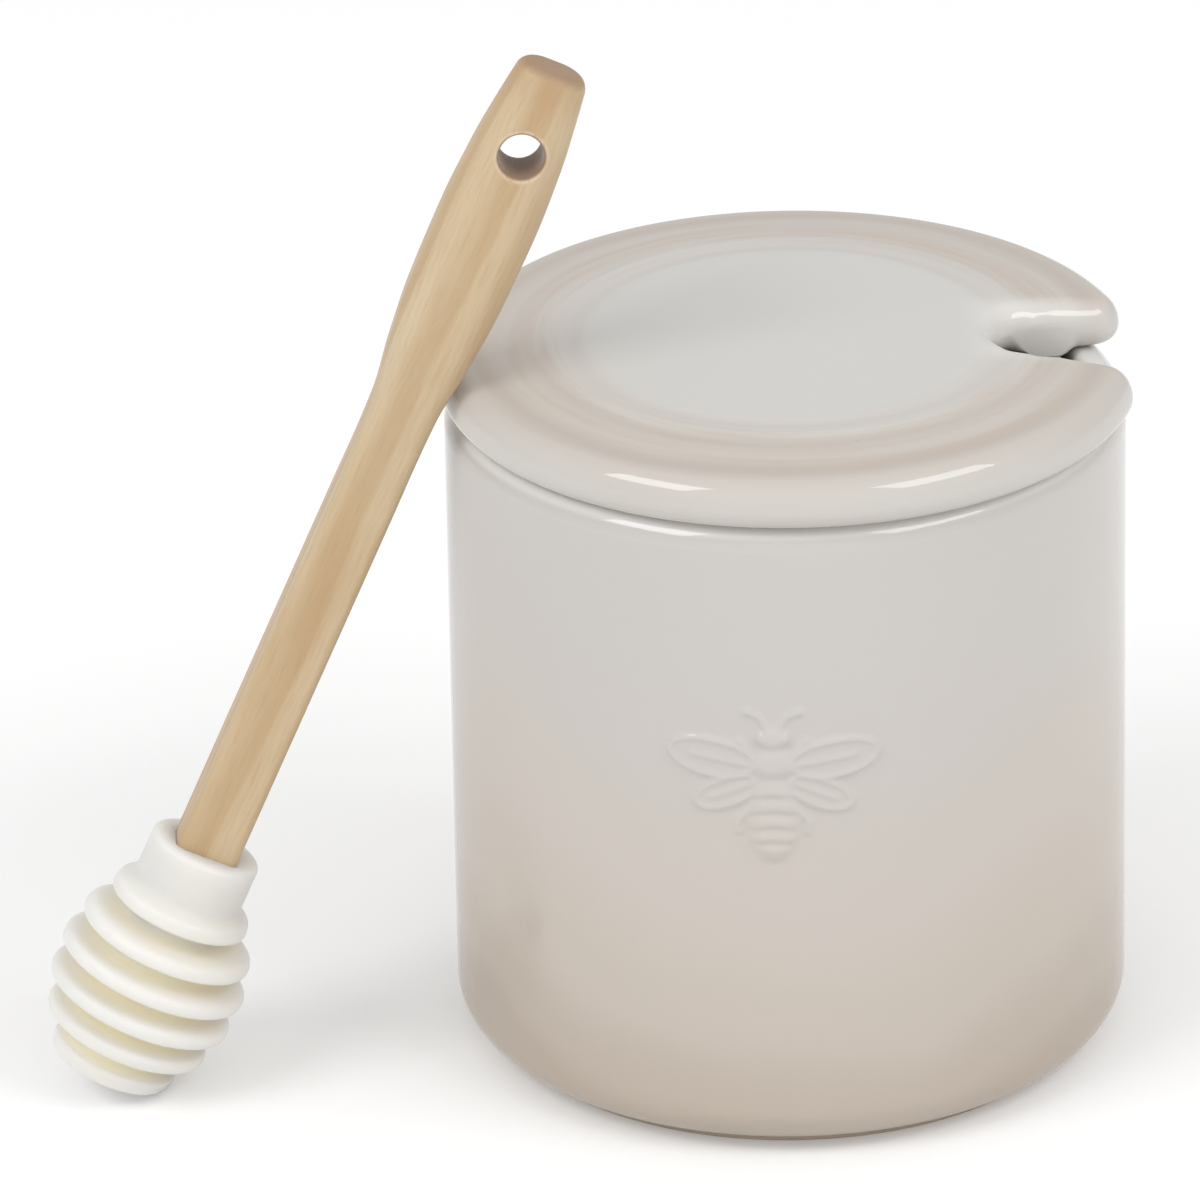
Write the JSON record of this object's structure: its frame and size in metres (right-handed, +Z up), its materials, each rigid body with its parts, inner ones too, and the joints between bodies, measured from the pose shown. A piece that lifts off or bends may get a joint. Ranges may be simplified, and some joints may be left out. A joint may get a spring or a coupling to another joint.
{
  "type": "honey pot with dipper",
  "caption": "Round glazed honey pot with a loose lid notched for a dipper; the dipper, a ribbed soft head on a wooden handle with a hanging hole, leans against the lid.",
  "frame": {"origin": "on the table, at the middle of the pot's foot ring", "axes": "+Z up along the pot's axis; seen along +Y the dipper stands on the left, at -X, and the lid's notch opens to the right, near +X"},
  "size_m": [0.1607, 0.1026, 0.1588],
  "materials": {
    "pot_glaze": "glossy off-white glaze over stoneware",
    "lid_glaze": "glossy off-white glaze over stoneware, warmer in the outer band",
    "silicone": "matt warm white silicone",
    "wood": "smooth oiled light wood"
  },
  "bodies": {
    "pot": {"pot": "pot_glaze"},
    "lid": {"lid": "lid_glaze"},
    "dipper_head": {"dipper_head": "silicone"},
    "dipper_handle": {"dipper_handle": "wood"}
  },
  "joints": [
    {"name": "lid_lift", "type": "slide", "parent": "pot", "child": "lid", "axis": [0.5183, 0.1102, 0.848], "range_m": [0, 0.12]},
    {"name": "dipper_lift", "type": "slide", "parent": "pot", "child": "dipper_head", "axis": [-0.6936, -0.1373, 0.7071], "range_m": [0, 0.15]},
    {"name": "handle_pull", "type": "slide", "parent": "dipper_head", "child": "dipper_handle", "axis": [0.4084, 0.0809, 0.9092], "range_m": [0, 0.03]}
  ]
}
